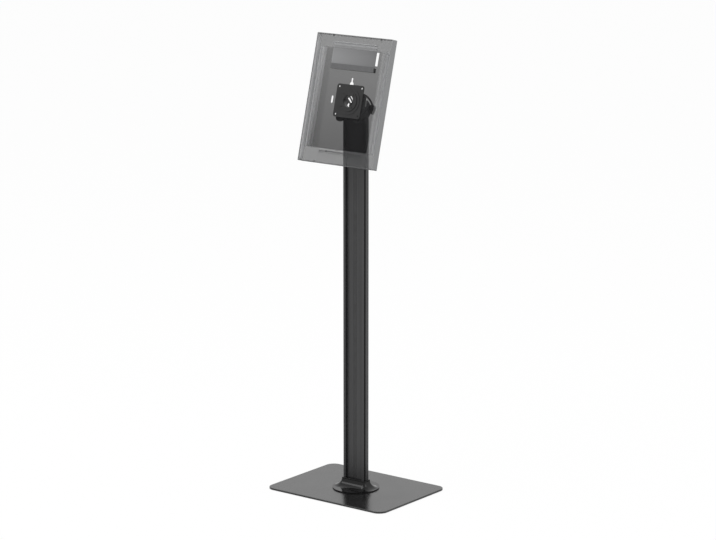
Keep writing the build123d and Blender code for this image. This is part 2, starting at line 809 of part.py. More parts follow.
# Front frame: the face with its window, and the walls down to the rear cover
with BuildPart() as front_frame:
    with BuildSketch(at_depth(frame_sheet)):
        RectangleRounded(enclosure_width, enclosure_height, enclosure_corner_round)
        with Locations((0, window_lift)):
            RectangleRounded(window_width, window_height, window_corner_round, mode=Mode.SUBTRACT)
        with Locations((0, window_lift + window_height / 2), (0, window_lift - window_height / 2)):
            Circle(window_notch_radius, mode=Mode.SUBTRACT)
    extrude(amount=frame_sheet)
    with BuildSketch(at_depth(cover_front)):
        RectangleRounded(enclosure_width, enclosure_height, enclosure_corner_round)
        Rectangle(
            enclosure_width - 2 * frame_sheet, enclosure_height - 2 * frame_sheet, mode=Mode.SUBTRACT
        )
    extrude(amount=cover_front - frame_sheet)
    for side in (1, -1):
        with Locations(frame_screw_plane(side)):
            with Locations((-frame_screw_pitch / 2, 0), (frame_screw_pitch / 2, 0)):
                Cone(
                    small_screw_radius + fit_gap,
                    small_screw_head_radius + fit_gap,
                    small_screw_head_height,
                    align=(Align.CENTER, Align.CENTER, Align.MAX),
                    mode=Mode.SUBTRACT,
                )
                Cylinder(small_screw_radius + fit_gap, 2 * frame_sheet, mode=Mode.SUBTRACT)
finish(front_frame.part, "front_frame")

# Screws that hold the front frame to the rear cover, through the top and bottom walls
with BuildPart() as frame_screws:
    for side in (1, -1):
        with Locations(frame_screw_plane(side)):
            with Locations((-frame_screw_pitch / 2, 0), (frame_screw_pitch / 2, 0)):
                Cone(
                    small_screw_radius,
                    small_screw_head_radius,
                    small_screw_head_height,
                    align=(Align.CENTER, Align.CENTER, Align.MAX),
                )
                Cylinder(
                    small_screw_radius,
                    small_screw_length,
                    align=(Align.CENTER, Align.CENTER, Align.MAX),
                )
finish(frame_screws.part, "frame_screws")

# Stepped side rails: an inner wall, a ledge under the tablet and a stop beside it
rail_inner = window_width / 2 + rail_reveal
rail_stop = tablet_width / 2 + tablet_gap
rail_outer = rail_stop + rail_sheet
rail_top = window_lift + window_height / 2
rail_bottom = window_lift - window_height / 2

with BuildPart() as support_rails:
    with BuildSketch(across(rail_bottom)):
        with Locations((rail_inner, rail_ledge_depth)):
            Rectangle(rail_sheet, cover_front - rail_ledge_depth, align=(Align.MIN, Align.MIN))
            Rectangle(rail_outer - rail_inner, rail_sheet, align=(Align.MIN, Align.MIN))
        with Locations((rail_stop, rail_stop_depth)):
            Rectangle(rail_sheet, cover_front - rail_stop_depth, align=(Align.MIN, Align.MIN))
        mirror(about=Plane.YZ)
    extrude(amount=rail_top - rail_bottom)
finish(support_rails.part, "support_rails")

rail_pad_width = rail_stop - rail_inner - tablet_gap
with BuildPart() as rail_pads:
    with BuildSketch(across(rail_bottom)):
        with Locations((rail_inner, rail_ledge_depth)):
            Rectangle(rail_pad_width, rail_pad_thickness, align=(Align.MIN, Align.MAX))
        mirror(about=Plane.YZ)
    extrude(amount=rail_top - rail_bottom)
finish(rail_pads.part, "rail_pads")

# Holders: bent sheets with a foot on the rear cover, a plate behind the tablet and a lip
holder_lip = tablet_height / 2 + tablet_gap


def holder(name, inner_edge, side):
    """A holder whose plate runs from its inner edge to the lip at the tablet's end."""
    foot_end = inner_edge + side * holder_foot
    plate_middle = (inner_edge + side * (holder_lip + holder_sheet)) / 2
    plate_length = abs(side * (holder_lip + holder_sheet) - inner_edge)
    with BuildPart() as bracket:
        with BuildSketch(side_section(-holder_width / 2)):
            with Locations((holder_plate_depth + holder_sheet / 2, plate_middle)):
                Rectangle(holder_sheet, plate_length)
            with Locations(((holder_plate_depth + cover_front) / 2, inner_edge + side * holder_sheet / 2)):
                Rectangle(cover_front - holder_plate_depth, holder_sheet)
            with Locations((cover_front - holder_sheet / 2, (foot_end + inner_edge) / 2)):
                Rectangle(holder_sheet, holder_foot)
            with Locations(
                (
                    (holder_lip_depth + holder_plate_depth) / 2,
                    side * (holder_lip + holder_sheet / 2),
                )
            ):
                Rectangle(holder_plate_depth - holder_lip_depth, holder_sheet)
        extrude(amount=holder_width)
        foot_middle = (foot_end + inner_edge) / 2
        with BuildSketch(at_depth(cover_front)):
            with Locations((-holder_screw_pitch / 2, foot_middle), (holder_screw_pitch / 2, foot_middle)):
                Circle(small_screw_radius + fit_gap)
        extrude(amount=holder_sheet, mode=Mode.SUBTRACT)
    finish(bracket.part, name)


holder("upper_holder", upper_holder_low, 1)
holder("lower_holder", lower_holder_high, -1)

pad_thickness = holder_plate_depth - (rail_ledge_depth - rail_pad_thickness)
pad_middle = holder_pad_inset + holder_pad_height / 2
with BuildPart() as holder_pads:
    with BuildSketch(at_depth(holder_plate_depth)):
        with Locations((0, upper_holder_low + pad_middle), (0, pad_middle - holder_lip)):
            Rectangle(holder_width - 2 * holder_pad_inset, holder_pad_height)
    extrude(amount=pad_thickness)
finish(holder_pads.part, "holder_pads")

rear_face = Plane(
    origin=face_centre - outward * enclosure_depth, x_dir=(-1, 0, 0), z_dir=-outward
)
holder_screws = headed_screws(
    rear_face,
    holder_screw_places,
    small_screw_radius,
    small_screw_head_radius,
    small_screw_head_height,
    holder_sheet + cover_sheet,
)
finish(holder_screws, "holder_screws")
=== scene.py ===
import json
import math

import bpy
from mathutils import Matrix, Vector

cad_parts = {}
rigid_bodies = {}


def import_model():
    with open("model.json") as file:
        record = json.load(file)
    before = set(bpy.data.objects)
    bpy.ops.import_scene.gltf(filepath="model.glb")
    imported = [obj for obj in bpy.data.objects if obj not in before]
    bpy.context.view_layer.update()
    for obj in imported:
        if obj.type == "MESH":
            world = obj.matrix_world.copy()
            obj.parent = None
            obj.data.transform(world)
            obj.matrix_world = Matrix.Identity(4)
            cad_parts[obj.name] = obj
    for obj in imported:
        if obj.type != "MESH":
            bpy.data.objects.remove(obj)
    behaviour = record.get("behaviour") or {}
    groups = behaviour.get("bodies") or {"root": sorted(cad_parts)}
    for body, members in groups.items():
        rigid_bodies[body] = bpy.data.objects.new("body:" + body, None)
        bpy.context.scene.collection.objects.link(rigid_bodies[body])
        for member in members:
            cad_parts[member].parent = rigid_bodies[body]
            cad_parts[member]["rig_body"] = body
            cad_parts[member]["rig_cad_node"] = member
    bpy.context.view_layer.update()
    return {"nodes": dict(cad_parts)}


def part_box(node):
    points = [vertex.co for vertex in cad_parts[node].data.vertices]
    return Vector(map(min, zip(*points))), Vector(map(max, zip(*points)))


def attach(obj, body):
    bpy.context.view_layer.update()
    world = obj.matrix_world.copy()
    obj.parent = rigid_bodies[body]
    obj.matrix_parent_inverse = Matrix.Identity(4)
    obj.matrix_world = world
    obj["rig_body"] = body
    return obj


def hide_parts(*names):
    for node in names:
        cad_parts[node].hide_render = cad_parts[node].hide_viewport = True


# The tablet stand's looks. Metres, +Z up, and the stand's front faces -Y.

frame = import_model()
nodes = frame["nodes"]

# Places on the enclosure are given as right (X), depth (Y) and up (Z), from the middle of its
# face, which leans back by the tilt.
TILT = math.radians(15.0)
FACE_CENTRE = Vector((0.0, -0.0490304, 1.0931732))
X_AXIS, UP_AXIS = 0, 2

# Where a look changes, as the places where the change starts and ends
# The panel's painted shade deepens downwards between these heights
PANEL_UP = (-0.125, 0.130)
BAND_X = (-0.077, -0.083)
LOW_MARGIN_UP = (-0.1325, -0.1345)
HIGH_MARGIN_UP = (0.1365, 0.1385)
RIGHT_MARGIN_X = (0.0875, 0.0885)
COVER_WALL_DEPTH = (0.0165, 0.0175)
COVER_END_UP = (0.1710, 0.1712)
FRAME_SIDE_X = (0.1248, 0.1249)
FRAME_OUTSIDE_X = (0.1258, 0.1262)
FRAME_FRONT_DEPTH = (0.0016, 0.0017)
FRAME_END_UP = (0.1728, 0.1729)
# Where the painted light and shade on the rails, foam pads and holders change
RAIL_UP = (-0.135, 0.140)
RAIL_OUTSIDE_X = (0.1101, 0.1103)
PAD_UP = (-0.150, 0.130)
PAD_RIGHT_X = (-0.01, 0.01)
HOLDER_X = (0.073, -0.073)
HOLDER_BEHIND_UP = (0.1380, 0.1385)
HOLDER_LIP_UP = (0.1455, 0.1485)

# Painted shadow lines, rims and painted shade in grooves, as a middle and half a width
# Where the frame's painted shadow lines lie, at the window's top and bottom edges
TOP_SHADOW_LINE_UP = (0.1378, 0.0007)
LOW_SHADOW_LINE_UP = (-0.1329, 0.0006)
SHADOW_LINES_X = (0.0, 0.0983)
RAIL_RIM_DEPTH = (0.0035, 0.0003)
# The column's side grooves, where shade is painted
GROOVE_X = (0.0328, 0.0022)
GROOVE_Y = (-0.0065, 0.0029)

# How much of what lies behind is held back
PANEL_ALPHA = (0.650, 0.540)
BAND_ALPHA = (0.0, 0.030)
FACE_AND_SHADOW_LINE_ALPHA = (0.040, 0.30)
MARGIN_ALPHA = 0.525
END_ALPHA = 0.61
HOLDER_ALPHA = 0.007

# How strongly a finish mirrors
BASE_IOR = 1.57
COLLAR_IOR = 1.33
PLATE_IOR = 1.43
COVER_SPECULAR = 0.05

# Colours, as linear values
BASE_BLACK = (0.0018, 0.0018, 0.0019)
BASE_BLACK_LIGHT = (0.0040, 0.0040, 0.0042)
COAT_BLACK = (0.014, 0.014, 0.0145)
COAT_BLACK_LIGHT = (0.024, 0.024, 0.0245)
COLUMN_BLACK = (0.020, 0.020, 0.021)
COLUMN_BLACK_LIGHT = (0.034, 0.034, 0.035)
# Painted shade in the column's side grooves
GROOVE_SHADE_BLACK = (0.0006, 0.0006, 0.0006)
PLASTIC_BLACK = (0.014, 0.014, 0.0145)
PLASTIC_BLACK_LIGHT = (0.026, 0.026, 0.027)
RUBBER_BLACK = (0.018, 0.018, 0.0185)
RUBBER_DUSTY = (0.042, 0.041, 0.040)
STEEL_DARK = (0.026, 0.0255, 0.025)
STEEL_BRIGHT = (0.060, 0.059, 0.058)
PLATE_DARK = (0.0035, 0.0035, 0.0037)
PLATE_LIGHT = (0.0070, 0.0070, 0.0073)
SMOKE = (0.0120, 0.0120, 0.0125)
SMOKE_HAZE = (0.0180, 0.0180, 0.0187)
FROST = (0.72, 0.73, 0.74)
FROST_HAZE = (0.79, 0.80, 0.81)
# Rails: painted light that pales them towards the top and on their shaded outer sides
RAIL_SHADED_LOW = (0.330, 0.332, 0.336)
RAIL_LIT_HIGH = (0.680, 0.684, 0.692)
RAIL_OUTSIDE_LIT = (0.620, 0.624, 0.630)
# Holders: painted light from the left, painted shade behind the frame's face, and painted light
# that fills the shadow under the lip
HOLDER_SHADED_RIGHT = (0.125, 0.126, 0.128)
HOLDER_LIT_LEFT = (0.215, 0.217, 0.220)
HOLDER_SHADE_BEHIND = (0.165, 0.166, 0.168)
HOLDER_LIP_FILL_LIGHT = (0.330, 0.332, 0.336)
FOAM_DARK = (0.098, 0.099, 0.101)
FOAM_LIGHT = (0.124, 0.125, 0.127)
# Foam pads: painted light that pales them towards the top
PAD_SHADED = (0.125, 0.126, 0.128)
PAD_LIT = (0.300, 0.302, 0.306)
PAD_GREY = (0.180, 0.181, 0.183)
WALL_GREY = (0.215, 0.217, 0.220)
WALL_INSIDE = (0.640, 0.643, 0.650)
END_GREY = (0.100, 0.101, 0.103)
# The frame's painted shadow line, just inside the window's top and bottom edges
SHADOW_LINE_BLACK = (0.012, 0.012, 0.0125)

# What every coat's clouds and grain have in common
CLOUD_DETAIL = 5.0
CLOUD_ROUGHNESS = 0.55
GRAIN_DETAIL = 3.0
TONE_SPAN = (0.34, 0.68)
GLOSS_SPAN = (0.3, 0.7)

# The sockets of a Mix node that blends colours
COLOUR_A, COLOUR_B, COLOUR_RESULT = 6, 7, 2


def upright(vector):
    """A direction given as right, depth and up on the enclosure, in the stand's frame."""
    x, depth, up = vector
    return Vector(
        (
            x,
            math.cos(TILT) * depth + math.sin(TILT) * up,
            math.cos(TILT) * up - math.sin(TILT) * depth,
        )
    )


def on_enclosure(point):
    """Right, depth and up of a point, measured from the middle of the enclosure's face."""
    away = Vector(point) - FACE_CENTRE
    return Vector(
        (
            away.x,
            math.cos(TILT) * away.y - math.sin(TILT) * away.z,
            math.sin(TILT) * away.y + math.cos(TILT) * away.z,
        )
    )


# Node helpers


def shader_of(material):
    return material.node_tree.nodes["Principled BSDF"]


def graded(tree, value, low, high, at_low=0.0, at_high=1.0):
    """A number that goes from at_low to at_high as the value goes from low to high."""
    grade = tree.nodes.new("ShaderNodeMapRange")
    grade.inputs["From Min"].default_value = low
    grade.inputs["From Max"].default_value = high
    grade.inputs["To Min"].default_value = at_low
    grade.inputs["To Max"].default_value = at_high
    tree.links.new(value, grade.inputs["Value"])
    return grade.outputs["Result"]


def reckoned(tree, operation, first, second=None, third=None):
    """The result of a sum on numbers or on the outputs of nodes."""
    sum_node = tree.nodes.new("ShaderNodeMath")
    sum_node.operation = operation
    for socket, value in zip(sum_node.inputs, (first, second, third)):
        if isinstance(value, float):
            socket.default_value = value
        elif value is not None:
            tree.links.new(value, socket)
    return sum_node.outputs[0]


def blended(tree, share, value, other):
    """A number that goes from a value to the other one as the share grows."""
    blend = tree.nodes.new("ShaderNodeMix")
    blend.inputs["B"].default_value = other
    tree.links.new(share, blend.inputs["Factor"])
    tree.links.new(value, blend.inputs["A"])
    return blend.outputs["Result"]


def tinted(tree, share, colour, other):
    """A colour that goes to the other one as the share grows."""
    blend = tree.nodes.new("ShaderNodeMix")
    blend.data_type = "RGBA"
    blend.inputs[COLOUR_B].default_value = (*other, 1.0)
    tree.links.new(share, blend.inputs["Factor"])
    tree.links.new(colour, blend.inputs[COLOUR_A])
    return blend.outputs[COLOUR_RESULT]


def enclosure_place(tree):
    """Right, depth and up on the enclosure, as the outputs of a node."""
    place = tree.nodes.new("ShaderNodeTexCoord")
    turned = tree.nodes.new("ShaderNodeMapping")
    turned.inputs["Rotation"].default_value = (TILT, 0.0, 0.0)
    turned.inputs["Location"].default_value = on_enclosure((0.0, 0.0, 0.0))
    tree.links.new(place.outputs["Object"], turned.inputs["Vector"])
    parts = tree.nodes.new("ShaderNodeSeparateXYZ")
    tree.links.new(turned.outputs["Vector"], parts.inputs["Vector"])
    return parts.outputs["X"], parts.outputs["Y"], parts.outputs["Z"]


# Finishes


def coat(name, dark, light, mottle, grain, depth, gloss, stretch=(1.0, 1.0, 1.0)):
    """A finish whose tone drifts over the piece, with a fine grain and a varying gloss."""
    material = bpy.data.materials.new(name)
    material.use_nodes = True
    tree = material.node_tree
    shader = shader_of(material)
    place = tree.nodes.new("ShaderNodeTexCoord")
    turned = tree.nodes.new("ShaderNodeMapping")
    turned.inputs["Scale"].default_value = stretch
    clouds = tree.nodes.new("ShaderNodeTexNoise")
    clouds.name = "clouds"
    clouds.inputs["Scale"].default_value = 1.0 / mottle
    clouds.inputs["Detail"].default_value = CLOUD_DETAIL
    clouds.inputs["Roughness"].default_value = CLOUD_ROUGHNESS
    tone = tree.nodes.new("ShaderNodeValToRGB")
    tone.name = "tone"
    for element, position, colour in zip(tone.color_ramp.elements, TONE_SPAN, (dark, light)):
        element.position = position
        element.color = (*colour, 1.0)
    grains = tree.nodes.new("ShaderNodeTexNoise")
    grains.inputs["Scale"].default_value = 1.0 / grain
    grains.inputs["Detail"].default_value = GRAIN_DETAIL
    relief = tree.nodes.new("ShaderNodeBump")
    relief.inputs["Strength"].default_value = 1.0
    relief.inputs["Distance"].default_value = depth
    link = tree.links.new
    link(place.outputs["Object"], turned.inputs["Vector"])
    link(turned.outputs["Vector"], clouds.inputs["Vector"])
    link(turned.outputs["Vector"], grains.inputs["Vector"])
    link(clouds.outputs["Fac"], tone.inputs["Fac"])
    link(tone.outputs["Color"], shader.inputs["Base Color"])
    link(graded(tree, clouds.outputs["Fac"], *GLOSS_SPAN, *gloss), shader.inputs["Roughness"])
    link(grains.outputs["Fac"], relief.inputs["Height"])
    link(relief.outputs["Normal"], shader.inputs["Normal"])
    return material


def coat_colour(tree):
    return tree.nodes["tone"].outputs["Color"]


def led_colour(tree, grade, drift, span):
    """A coat's colour led by a grade, with a little of its clouds added."""
    tone = tree.nodes["tone"]
    for element, position in zip(tone.color_ramp.elements, span):
        element.position = position
    clouds = tree.nodes["clouds"].outputs["Fac"]
    tree.links.new(reckoned(tree, "MULTIPLY_ADD", clouds, drift, grade), tone.inputs["Fac"])
    return tone.outputs["Color"]


def smoked_shell():
    """Smoked plastic that holds back more towards the bottom, as painted shade, and less at three
    margins.
    """
    material = coat(
        "smoked_shell",
        SMOKE,
        SMOKE_HAZE,
        mottle=0.06,
        grain=0.0008,
        depth=0.00001,
        gloss=(0.35, 0.45),
    )
    tree = material.node_tree
    shader = shader_of(material)
    shader.inputs["Specular IOR Level"].default_value = COVER_SPECULAR
    x, depth, up = enclosure_place(tree)
    # Painted shade: the panel's smoke thickens towards the bottom
    panel = graded(tree, up, *PANEL_UP, *PANEL_ALPHA)
    band = graded(tree, x, *BAND_X, *BAND_ALPHA)
    shaded = reckoned(tree, "ADD", panel, band)
    low_margin = graded(tree, up, *LOW_MARGIN_UP)
    high_margin = graded(tree, up, *HIGH_MARGIN_UP)
    right_margin = graded(tree, x, *RIGHT_MARGIN_X)
    margin = reckoned(tree, "MAXIMUM", low_margin, high_margin)
    margin = reckoned(tree, "MAXIMUM", margin, right_margin)
    alpha = blended(tree, margin, shaded, MARGIN_ALPHA)
    wall = graded(tree, depth, *COVER_WALL_DEPTH, 1.0, 0.0)
    end = graded(tree, reckoned(tree, "ABSOLUTE", up), *COVER_END_UP)
    alpha = blended(tree, wall, alpha, 1.0)
    alpha = blended(tree, end, alpha, END_ALPHA)
    tree.links.new(alpha, shader.inputs["Alpha"])
    tint = tinted(tree, wall, coat_colour(tree), WALL_INSIDE)
    tint = tinted(tree, end, tint, END_GREY)
    tree.links.new(tint, shader.inputs["Base Color"])
    return material


def frosted_face():
    """Clear plastic with a faint haze, grey walls and a painted shadow line of the frame at the
    window's ends.
    """
    material = coat(
        "smoked_face",
        FROST,
        FROST_HAZE,
        mottle=0.08,
        grain=0.0008,
        depth=0.00001,
        gloss=(0.35, 0.45),
    )
    tree = material.node_tree
    shader = shader_of(material)
    x, depth, up = enclosure_place(tree)
    aside = reckoned(tree, "ABSOLUTE", x)
    side = graded(tree, aside, *FRAME_SIDE_X)
    end = graded(tree, reckoned(tree, "ABSOLUTE", up), *FRAME_END_UP)
    outside = graded(tree, aside, *FRAME_OUTSIDE_X)
    front = graded(tree, depth, *FRAME_FRONT_DEPTH, 1.0, 0.0)
    outside = reckoned(tree, "MULTIPLY", reckoned(tree, "MAXIMUM", outside, front), side)
    # Painted shadow: a dark, less clear line just inside the window's top and bottom edges, where
    # the frame's edge shades the holders behind
    top_shadow_line = reckoned(tree, "COMPARE", up, *TOP_SHADOW_LINE_UP)
    low_shadow_line = reckoned(tree, "COMPARE", up, *LOW_SHADOW_LINE_UP)
    across = reckoned(tree, "COMPARE", aside, *SHADOW_LINES_X)
    shadow_line = reckoned(tree, "MAXIMUM", top_shadow_line, low_shadow_line)
    shadow_line = reckoned(tree, "MULTIPLY", shadow_line, across)
    tint = tinted(tree, side, coat_colour(tree), WALL_INSIDE)
    tint = tinted(tree, outside, tint, WALL_GREY)
    tint = tinted(tree, end, tint, END_GREY)
    tint = tinted(tree, shadow_line, tint, SHADOW_LINE_BLACK)
    tree.links.new(tint, shader.inputs["Base Color"])
    alpha = graded(tree, shadow_line, 0.0, 1.0, *FACE_AND_SHADOW_LINE_ALPHA)
    alpha = blended(tree, side, alpha, 1.0)
    alpha = blended(tree, end, alpha, END_ALPHA)
    tree.links.new(alpha, shader.inputs["Alpha"])
    return material


def clear_holder():
    """Clear plastic, so that the column shows through the enclosure's lower end."""
    material = coat(
        "clear_holder",
        FOAM_DARK,
        FOAM_LIGHT,
        mottle=0.05,
        grain=0.0005,
        depth=0.00002,
        gloss=(0.45, 0.55),
    )
    shader_of(material).inputs["Alpha"].default_value = HOLDER_ALPHA
    return material


def rail_grey():
    """Grey plastic with painted light: paler towards the top, and pale on the outside, which lies
    in shade; it has a grey front rim.
    """
    material = coat(
        "rail_grey",
        RAIL_SHADED_LOW,
        RAIL_LIT_HIGH,
        mottle=0.08,
        grain=0.0005,
        depth=0.00002,
        gloss=(0.45, 0.55),
    )
    tree = material.node_tree
    x, depth, up = enclosure_place(tree)
    # Painted light: the rail pales towards the top
    grade = graded(tree, up, *RAIL_UP, 0.10, 0.90)
    tint = led_colour(tree, grade, drift=0.12, span=(0.06, 1.0))
    # Painted light: the outer side, which sits in shade between rail and cover, is made pale
    outside = graded(tree, reckoned(tree, "ABSOLUTE", x), *RAIL_OUTSIDE_X)
    tint = tinted(tree, outside, tint, RAIL_OUTSIDE_LIT)
    rim = reckoned(tree, "COMPARE", depth, *RAIL_RIM_DEPTH)
    tint = tinted(tree, rim, tint, PAD_GREY)
    tree.links.new(tint, shader_of(material).inputs["Base Color"])
    return material


def rail_foam():
    """Foam with painted light that pales it towards the top on the left, and an even grey on the
    right.
    """
    material = coat(
        "pad_foam",
        PAD_SHADED,
        PAD_LIT,
        mottle=0.006,
        grain=0.0008,
        depth=0.00012,
        gloss=(0.8, 0.95),
    )
    tree = material.node_tree
    x, _, up = enclosure_place(tree)
    # Painted light: the left pad pales towards the top, and the right pad is an even grey
    grade = graded(tree, up, *PAD_UP, 0.0, 0.92)
    tint = led_colour(tree, grade, drift=0.08, span=(0.04, 0.96))
    tint = tinted(tree, graded(tree, x, *PAD_RIGHT_X), tint, PAD_GREY)
    tree.links.new(tint, shader_of(material).inputs["Base Color"])
    return material


def holder_grey():
    """Grey coat with painted light that pales it towards the left, painted shade where it lies
    behind the frame's face, and painted light on the lip above that fills the lip's shadow.
    """
    material = coat(
        "holder_grey",
        HOLDER_SHADED_RIGHT,
        HOLDER_LIT_LEFT,
        mottle=0.05,
        grain=0.0005,
        depth=0.00002,
        gloss=(0.45, 0.55),
    )
    tree = material.node_tree
    x, _, up = enclosure_place(tree)
    # Painted light: paler towards the left
    grade = graded(tree, x, *HOLDER_X, 0.0, 0.85)
    tint = led_colour(tree, grade, drift=0.15, span=(0.05, 0.95))
    # Painted shade where the holder lies behind the frame's face above the window
    tint = tinted(tree, graded(tree, up, *HOLDER_BEHIND_UP), tint, HOLDER_SHADE_BEHIND)
    # Painted light on the lip, which fills its cast shadow
    tint = tinted(tree, graded(tree, up, *HOLDER_LIP_UP), tint, HOLDER_LIP_FILL_LIGHT)
    tree.links.new(tint, shader_of(material).inputs["Base Color"])
    return material


def blackened_steel():
    material = coat(
        "dark_steel",
        STEEL_DARK,
        STEEL_BRIGHT,
        mottle=0.004,
        grain=0.0003,
        depth=0.00001,
        gloss=(0.28, 0.42),
    )
    shader_of(material).inputs["Metallic"].default_value = 1.0
    return material


def base_black(name, gloss, ior):
    """The black coat of the base plate and the collar, which mirror unlike each other."""
    material = coat(
        name,
        BASE_BLACK,
        BASE_BLACK_LIGHT,
        mottle=0.09,
        grain=0.0007,
        depth=0.000012,
        gloss=gloss,
    )
    shader_of(material).inputs["IOR"].default_value = ior
    return material


def plate_coat():
    material = coat(
        "plate_coat",
        PLATE_DARK,
        PLATE_LIGHT,
        mottle=0.02,
        grain=0.0005,
        depth=0.00002,
        gloss=(0.4, 0.5),
    )
    shader_of(material).inputs["IOR"].default_value = PLATE_IOR
    return material


def column_coat():
    """Drawn black coat, with streaks along the column and painted shade in its side grooves."""
    material = coat(
        "column_coat",
        COLUMN_BLACK,
        COLUMN_BLACK_LIGHT,
        mottle=0.005,
        grain=0.0009,
        depth=0.00001,
        gloss=(0.30, 0.40),
        stretch=(1.0, 1.0, 0.012),
    )
    tree = material.node_tree
    place = tree.nodes.new("ShaderNodeTexCoord")
    parts = tree.nodes.new("ShaderNodeSeparateXYZ")
    tree.links.new(place.outputs["Object"], parts.inputs["Vector"])
    aside = reckoned(tree, "ABSOLUTE", parts.outputs["X"])
    # Painted shade: the side grooves are made near-black and dull, for the shade inside them
    inside = reckoned(tree, "COMPARE", aside, *GROOVE_X)
    level = reckoned(tree, "COMPARE", parts.outputs["Y"], *GROOVE_Y)
    groove_shade = reckoned(tree, "MULTIPLY", inside, level)
    shader = shader_of(material)
    tint = tinted(tree, groove_shade, coat_colour(tree), GROOVE_SHADE_BLACK)
    tree.links.new(tint, shader.inputs["Base Color"])
    gloss = shader.inputs["Roughness"].links[0].from_socket
    tree.links.new(blended(tree, groove_shade, gloss, 1.0), shader.inputs["Roughness"])
    return material


finishes = {
    "base_coat": base_black("base_coat", gloss=(0.20, 0.26), ior=BASE_IOR),
    "rubber": coat(
        "rubber",
        RUBBER_BLACK,
        RUBBER_DUSTY,
        mottle=0.012,
        grain=0.0005,
        depth=0.00006,
        gloss=(0.65, 0.85),
    ),
    "column_coat": column_coat(),
    "strip_plastic": coat(
        "strip_plastic",
        PLASTIC_BLACK,
        PLASTIC_BLACK_LIGHT,
        mottle=0.03,
        grain=0.0006,
        depth=0.00002,
        gloss=(0.38, 0.48),
    ),
    "dark_steel": blackened_steel(),
    "bracket_coat": coat(
        "bracket_coat",
        COAT_BLACK,
        COAT_BLACK_LIGHT,
        mottle=0.02,
        grain=0.0006,
        depth=0.00002,
        gloss=(0.35, 0.5),
    ),
    "washer_plastic": coat(
        "washer_plastic",
        PLASTIC_BLACK,
        PLASTIC_BLACK_LIGHT,
        mottle=0.01,
        grain=0.0004,
        depth=0.00002,
        gloss=(0.4, 0.5),
    ),
    "knob_plastic": coat(
        "knob_plastic",
        COAT_BLACK,
        COAT_BLACK_LIGHT,
        mottle=0.006,
        grain=0.0003,
        depth=0.00003,
        gloss=(0.40, 0.55),
    ),
    "plate_coat": plate_coat(),
    "smoked_shell": smoked_shell(),
    "smoked_face": frosted_face(),
    "rail_grey": rail_grey(),
    "pad_foam": rail_foam(),
    "holder_grey": holder_grey(),
    "strip_foam": coat(
        "strip_foam",
        FOAM_DARK,
        FOAM_LIGHT,
        mottle=0.004,
        grain=0.0008,
        depth=0.00015,
        gloss=(0.8, 0.95),
    ),
}

# Modelling

# Vertices this near are one, and faces this flat to each other are one
WELD_DISTANCE = 0.000005
FLAT_ANGLE = math.radians(0.4)
# Edges sharper than this are rounded
EDGE_ANGLE = math.radians(30.0)
PIECE_SMOOTH_ANGLE = math.radians(35.0)
FOAM_SMOOTH_ANGLE = math.radians(60.0)
PIECE_SEGMENTS = 2
FOOT_SEGMENTS = 3
FOAM_SEGMENTS = 4
# Large faces lead the shading, so that they stay flat up to their rounded edges
FACE_WEIGHT = 50
# A face whose normal has at least this much of a direction looks that way
FACING = 0.9


def select_only(*objects):
    bpy.ops.object.select_all(action="DESELECT")
    for piece in objects:
        piece.select_set(True)
    bpy.context.view_layer.objects.active = objects[-1]


def apply_modifier(piece, kind, **settings):
    modifier = piece.modifiers.new(kind.lower(), kind)
    for key, value in settings.items():
        setattr(modifier, key, value)
    select_only(piece)
    bpy.ops.object.modifier_apply(modifier=modifier.name)


def round_edges(piece, width, segments, **settings):
    apply_modifier(
        piece,
        "BEVEL",
        width=width,
        segments=segments,
        limit_method="ANGLE",
        angle_limit=EDGE_ANGLE,
        **settings,
    )


def edit_faces_towards(piece, direction):
    """Goes into edit mode with only the faces that look in a direction selected."""
    bpy.ops.object.mode_set(mode="EDIT")
    bpy.ops.mesh.select_all(action="DESELECT")
    bpy.ops.object.mode_set(mode="OBJECT")
    for face in piece.data.polygons:
        face.select = face.normal.dot(direction) > FACING
    bpy.ops.object.mode_set(mode="EDIT")


def give_finish(piece, material):
    piece.data.materials.clear()
    piece.data.materials.append(material)


def edged_copy(name, finish, rounding):
    """A copy of a machined or moulded piece, with its sharp edges broken, which stands for it."""
    source = nodes[name]
    body = source["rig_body"]
    select_only(source)
    bpy.ops.object.duplicate()
    piece = bpy.context.object
    piece.name = name + "_finished"
    piece.parent = None
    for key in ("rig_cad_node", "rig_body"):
        del piece[key]
    bpy.ops.object.mode_set(mode="EDIT")
    bpy.ops.mesh.select_all(action="SELECT")
    bpy.ops.mesh.remove_doubles(threshold=WELD_DISTANCE)
    bpy.ops.mesh.dissolve_limited(angle_limit=FLAT_ANGLE)
    bpy.ops.object.mode_set(mode="OBJECT")
    bpy.ops.object.shade_smooth()
    round_edges(piece, rounding, PIECE_SEGMENTS, harden_normals=True)
    bpy.ops.object.shade_smooth_by_angle(angle=PIECE_SMOOTH_ANGLE)
    apply_modifier(
        piece, "WEIGHTED_NORMAL", mode="FACE_AREA", weight=FACE_WEIGHT, keep_sharp=True
    )
    give_finish(piece, finishes[finish])
    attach(piece, body)
    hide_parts(name)


